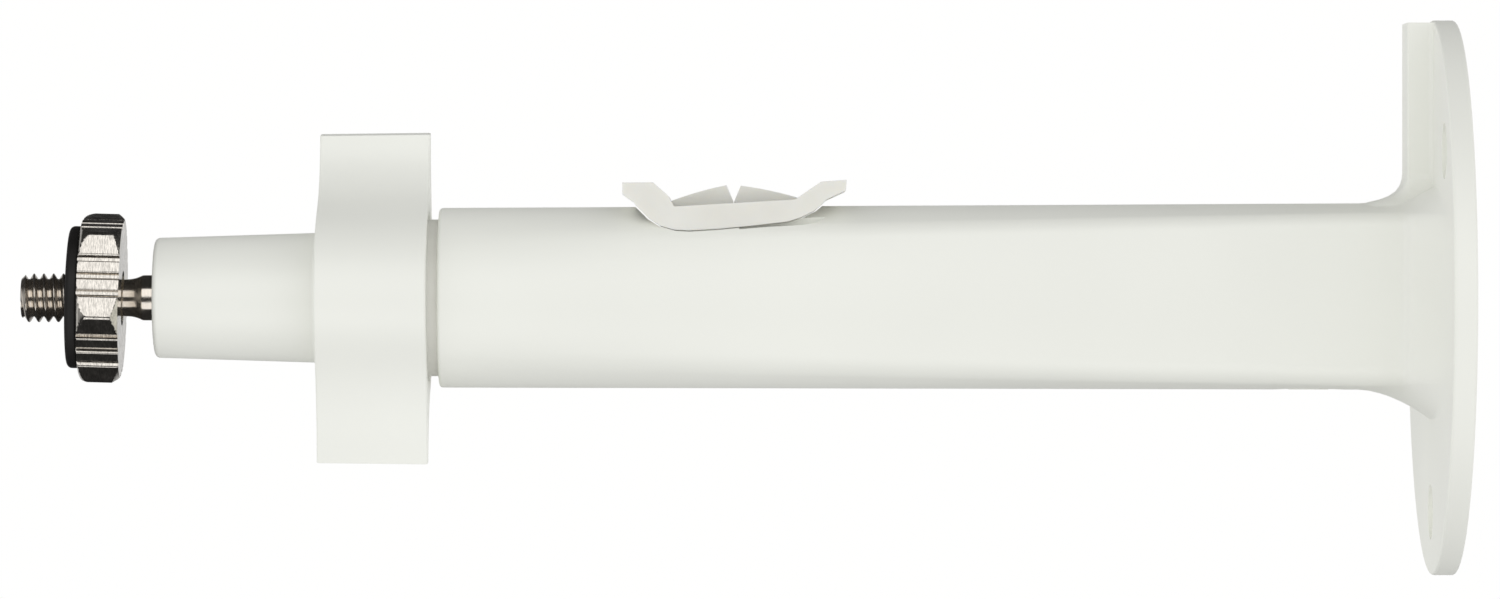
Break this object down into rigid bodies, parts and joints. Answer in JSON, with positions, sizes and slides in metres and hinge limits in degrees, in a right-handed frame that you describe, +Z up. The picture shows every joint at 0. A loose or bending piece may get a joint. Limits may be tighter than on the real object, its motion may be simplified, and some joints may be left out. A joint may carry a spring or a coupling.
{
  "type": "security camera wall bracket",
  "caption": "Wall bracket for a small security camera: round flange, hollow arm, winged clamp nut and ball-jointed 1/4-20 stud with lock wheel and cable clip.",
  "frame": {"origin": "centre of the round flange's back face, which lies on the wall", "axes": "+X points into the wall, normal to the flange's back face, so the arm reaches out along -X; +Z is up as the bracket hangs on the wall, and the cable clip is on top of the arm"},
  "size_m": [0.1864, 0.0722, 0.0722],
  "materials": {
    "painted_white": "matte powder coat, very fine grain",
    "painted_white_nut": "matte moulded plastic, fine grain",
    "spigot_white": "moulded, satin",
    "screw_steel": "zinc plated",
    "nylon": "natural nylon",
    "ball_black": "smooth moulded",
    "stud_steel": "turned, polished",
    "washer_rubber": "matte",
    "wheel_nickel": "nickel plated casting, brushed",
    "clip_natural": "natural translucent plastic, satin"
  },
  "bodies": {
    "bracket": {"bracket_arm": "painted_white", "threaded_spigot": "spigot_white", "spigot_screw": "screw_steel", "spring_washer": "screw_steel", "rear_seat": "nylon"},
    "front_seat": {"front_seat": "nylon"},
    "wing_nut": {"wing_nut": "painted_white_nut"},
    "liner": {"friction_liner": "nylon"},
    "ball": {"ball": "ball_black"},
    "stud": {"stud": "stud_steel"},
    "washer": {"rubber_washer": "washer_rubber"},
    "lock_wheel": {"lock_wheel": "wheel_nickel"},
    "clip": {"cable_clip": "clip_natural"}
  },
  "joints": [
    {"name": "clamp_travel", "type": "slide", "parent": "bracket", "child": "front_seat", "axis": [-1, 0, 0], "range_m": [0, 0.001]},
    {"name": "clamp_turn", "type": "hinge", "parent": "front_seat", "child": "wing_nut", "pos_m": [-0.14, 0, 0], "axis": [-1, 0, 0], "range_deg": [0, 180]},
    {"name": "tilt", "type": "hinge", "parent": "bracket", "child": "liner", "pos_m": [-0.1638, 0, 0], "axis": [0, 1, 0], "range_deg": [-17, 17]},
    {"name": "pan", "type": "hinge", "parent": "liner", "child": "ball", "pos_m": [-0.1638, 0, 0], "axis": [0, 0, 1], "range_deg": [-17, 17]},
    {"name": "roll", "type": "hinge", "parent": "ball", "child": "stud", "pos_m": [-0.1638, 0, 0], "axis": [-1, 0, 0], "continuous": true},
    {"name": "wheel_travel", "type": "slide", "parent": "stud", "child": "washer", "axis": [-1, 0, 0], "range_m": [0, 0.0038]},
    {"name": "wheel_turn", "type": "hinge", "parent": "washer", "child": "lock_wheel", "pos_m": [-0.176, 0, 0], "axis": [-1, 0, 0], "range_deg": [0, 1080]},
    {"name": "clip_lift", "type": "slide", "parent": "bracket", "child": "clip", "axis": [0, 0, 1], "range_m": [0, 0.012]}
  ],
  "couplings": [
    {"joint": "clamp_travel", "follows": "clamp_turn", "m_per_rad": 0.00031831},
    {"joint": "wheel_turn", "follows": "wheel_travel", "rad_per_m": 4947.4}
  ]
}
